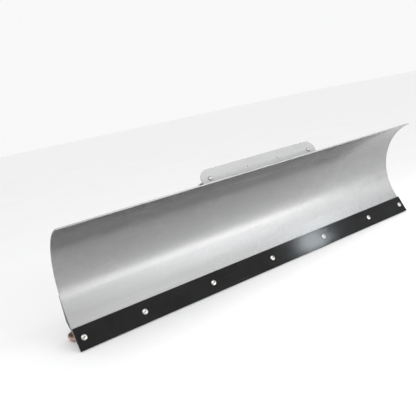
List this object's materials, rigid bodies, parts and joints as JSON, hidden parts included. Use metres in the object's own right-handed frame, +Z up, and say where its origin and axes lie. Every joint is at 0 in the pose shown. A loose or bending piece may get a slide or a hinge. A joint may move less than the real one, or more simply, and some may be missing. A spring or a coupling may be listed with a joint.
{
  "type": "atv plow blade",
  "caption": "Curved steel snow plow blade with bolted wear bar, ribs, skid shoes, trip springs, swivel frame and push-tube head.",
  "frame": {"origin": "middle of the bounding box at ground level, on the floor under the blade", "axes": "+X along the blade, +Y towards the vehicle behind it, +Z up; the blade pushes towards -Y"},
  "size_m": [1.524, 0.5148, 0.4215],
  "materials": {
    "galvanised": "satin galvanised sheet, faint brushed grain along the blade",
    "white_zinc": "pale grey zinc plate, satin",
    "wear_steel": "black semi-gloss coated steel bar",
    "black_coat": "black powder coat, fine texture",
    "bright_zinc": "bright zinc plated fastener",
    "rusty_iron": "copper brown cast iron with dark scale at the rim",
    "spring_steel": "zinc plated spring wire"
  },
  "bodies": {
    "push_head": {"push_head": "black_coat", "king_bolt": "bright_zinc", "king_nut": "bright_zinc", "king_washer": "bright_zinc"},
    "swivel": {"swivel_frame": "black_coat", "spring_post_left": "black_coat", "spring_post_right": "black_coat", "spring_post_brace": "black_coat"},
    "lock_pin": {"lock_pin": "bright_zinc", "lock_pin_handle": "bright_zinc"},
    "blade": {"moldboard": "galvanised", "wear_bar": "wear_steel", "wear_bar_bolt_1": "bright_zinc", "wear_bar_bolt_2": "bright_zinc", "wear_bar_bolt_3": "bright_zinc", "wear_bar_bolt_4": "bright_zinc", "wear_bar_bolt_5": "bright_zinc", "wear_bar_bolt_6": "bright_zinc", "wear_bar_bolt_7": "bright_zinc", "wear_bar_nut_1": "bright_zinc", "wear_bar_nut_2": "bright_zinc", "wear_bar_nut_3": "bright_zinc", "wear_bar_nut_4": "bright_zinc", "wear_bar_nut_5": "bright_zinc", "wear_bar_nut_6": "bright_zinc", "wear_bar_nut_7": "bright_zinc", "bottom_rail": "galvanised", "end_rib_left": "black_coat", "end_rib_right": "black_coat", "outer_rib_left": "galvanised", "outer_rib_right": "galvanised", "pivot_rib_inner_left": "galvanised", "pivot_rib_inner_right": "galvanised", "pivot_rib_outer_left": "galvanised", "pivot_rib_outer_right": "galvanised", "spring_plate": "white_zinc", "spring_anchor_bolt_left": "bright_zinc", "spring_anchor_bolt_right": "bright_zinc", "spring_eye_nut_left": "bright_zinc", "spring_eye_nut_right": "bright_zinc", "skid_bracket_left": "black_coat", "skid_bracket_right": "black_coat", "pivot_pin_left": "bright_zinc", "pivot_pin_right": "bright_zinc", "pivot_hairpin_left": "spring_steel", "pivot_hairpin_right": "spring_steel"},
    "left_spring": {"trip_spring_left": "spring_steel"},
    "left_spring_hook": {"trip_spring_hook_left": "spring_steel"},
    "left_skid": {"skid_shoe_left": "rusty_iron", "skid_spacer_left": "bright_zinc", "skid_lynch_pin_left": "bright_zinc"},
    "right_spring": {"trip_spring_right": "spring_steel"},
    "right_spring_hook": {"trip_spring_hook_right": "spring_steel"},
    "right_skid": {"skid_shoe_right": "rusty_iron", "skid_spacer_right": "bright_zinc", "skid_lynch_pin_right": "bright_zinc"}
  },
  "joints": [
    {"name": "angle_swivel", "type": "hinge", "parent": "push_head", "child": "swivel", "pos_m": [0, 0.08238, 0.115], "axis": [0, 0, 1], "range_deg": [-25, 25]},
    {"name": "lock_pin_drop", "type": "slide", "parent": "swivel", "child": "lock_pin", "axis": [0, 0, -1], "range_m": [0, 0.0155]},
    {"name": "trip", "type": "hinge", "parent": "swivel", "child": "blade", "pos_m": [0, -0.06462, 0.11507], "axis": [1, 0, 0], "range_deg": [0, 35], "stiffness_Nm_per_rad": 250, "springref_deg": -22.92},
    {"name": "left_spring_swing", "type": "hinge", "parent": "swivel", "child": "left_spring", "pos_m": [0, 0.05011, 0.26184], "axis": [1, 0, 0], "range_deg": [0, 26.4]},
    {"name": "left_spring_stretch", "type": "slide", "parent": "left_spring", "child": "left_spring_hook", "axis": [0, -0.8996, 0.4368], "range_m": [0, 0.1016], "deforming": ["trip_spring_left", "trip_spring_hook_left"]},
    {"name": "right_spring_swing", "type": "hinge", "parent": "swivel", "child": "right_spring", "pos_m": [0, 0.05011, 0.26184], "axis": [1, 0, 0], "range_deg": [0, 26.4]},
    {"name": "right_spring_stretch", "type": "slide", "parent": "right_spring", "child": "right_spring_hook", "axis": [0, -0.8996, 0.4368], "range_m": [0, 0.1016], "deforming": ["trip_spring_right", "trip_spring_hook_right"]},
    {"name": "left_skid_height", "type": "slide", "parent": "blade", "child": "left_skid", "axis": [0, 0, -1], "range_m": [0, 0.022]},
    {"name": "right_skid_height", "type": "slide", "parent": "blade", "child": "right_skid", "axis": [0, 0, -1], "range_m": [0, 0.022]}
  ],
  "couplings": [
    {"joint": "left_spring_swing", "follows": "trip", "ratio": 0.7541},
    {"joint": "left_spring_stretch", "follows": "trip", "m_per_rad": 0.16627},
    {"joint": "right_spring_swing", "follows": "trip", "ratio": 0.7541},
    {"joint": "right_spring_stretch", "follows": "trip", "m_per_rad": 0.16627}
  ]
}
